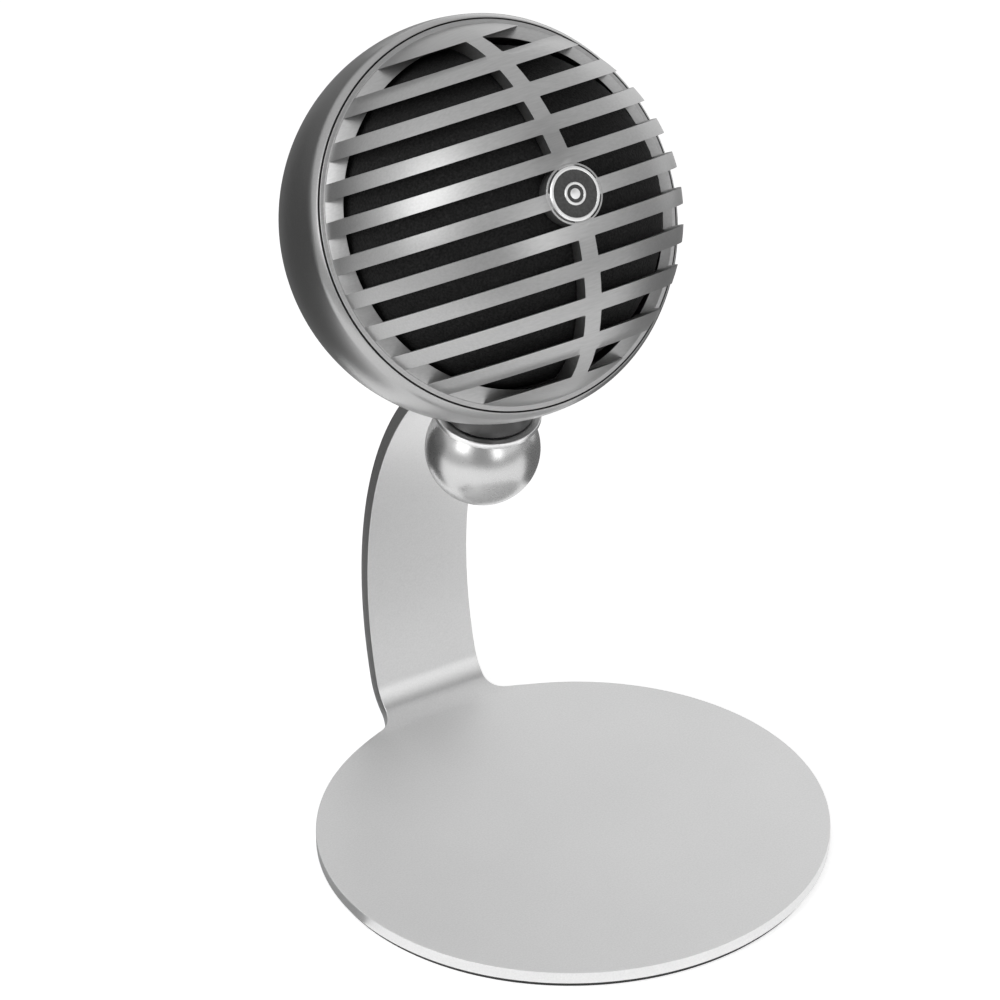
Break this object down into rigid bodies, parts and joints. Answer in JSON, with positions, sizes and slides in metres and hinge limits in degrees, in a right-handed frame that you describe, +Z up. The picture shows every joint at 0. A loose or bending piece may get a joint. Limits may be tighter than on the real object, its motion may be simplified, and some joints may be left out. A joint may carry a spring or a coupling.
{
  "type": "desktop microphone",
  "caption": "Desktop microphone with a round slotted dome grille; its head tilts on a ball held by a curved arm on a round base.",
  "frame": {"origin": "middle of the foot pad's underside, on the desk", "axes": "+Z up, the microphone faces -Y, X across"},
  "size_m": [0.089, 0.1015, 0.1451],
  "materials": {
    "satin_aluminium": "fine bead-blasted satin",
    "graphite_paint": "die-cast, grey satin",
    "grille_silver": "satin silver",
    "satin_chrome": "satin chrome",
    "plain_steel": "plain zinc-plated steel",
    "black_rubber": "matt",
    "black_foam": "open-cell foam",
    "black_plastic": "fine matt",
    "green_board": "solder mask",
    "brass_can": "plain",
    "clear_guide": "clear moulding"
  },
  "bodies": {
    "stand": {"stand_frame": "satin_aluminium", "foot_pad": "black_rubber", "pivot_ball": "satin_chrome", "seat_washer": "black_rubber", "hinge_pin": "plain_steel", "pin_plug": "satin_chrome", "friction_washer_left": "plain_steel", "friction_washer_right": "plain_steel", "knob_washer": "plain_steel"},
    "thumb_screw": {"thumb_knob": "satin_aluminium", "thumb_shank": "plain_steel"},
    "head": {"rear_housing": "graphite_paint", "swivel_collar": "satin_aluminium", "tilt_stud": "plain_steel", "stud_nut": "plain_steel", "front_grille": "grille_silver", "badge": "satin_chrome", "foam_liner": "black_foam", "grille_gasket": "black_rubber", "baffle_plate": "black_plastic", "capsule_mount": "black_rubber", "capsule": "brass_can", "capsule_lead": "black_plastic", "rear_cover": "graphite_paint", "main_board": "green_board", "usb_socket": "plain_steel", "headphone_socket": "black_plastic", "light_guide_1": "clear_guide", "light_guide_2": "clear_guide", "light_guide_3": "clear_guide", "status_led_1": "clear_guide", "status_led_2": "clear_guide", "status_led_3": "clear_guide", "mode_switch": "black_plastic", "mute_switch": "black_plastic", "cover_screw_1": "plain_steel", "cover_screw_2": "plain_steel", "cover_screw_3": "plain_steel", "board_screw_1": "plain_steel", "board_screw_2": "plain_steel", "board_screw_3": "plain_steel"},
    "mode_button": {"mode_button": "black_plastic"},
    "mute_button": {"mute_button": "black_plastic"}
  },
  "joints": [
    {"name": "head_tilt", "type": "hinge", "parent": "stand", "child": "head", "pos_m": [0, 0.02791, 0.06513], "axis": [1, 0, 0], "range_deg": [0, 28]},
    {"name": "thumb_screw_turn", "type": "hinge", "parent": "stand", "child": "thumb_screw", "pos_m": [0, 0.02791, 0.06513], "axis": [0, 0.7944, 0.6074], "continuous": true},
    {"name": "mode_button_press", "type": "slide", "parent": "head", "child": "mode_button", "axis": [0, -0.8371, 0.547], "range_m": [0, 0.0004], "stiffness_N_per_m": 900, "springref_m": -0.0006},
    {"name": "mute_button_press", "type": "slide", "parent": "head", "child": "mute_button", "axis": [0, -0.8371, 0.547], "range_m": [0, 0.0004], "stiffness_N_per_m": 900, "springref_m": -0.0006}
  ]
}
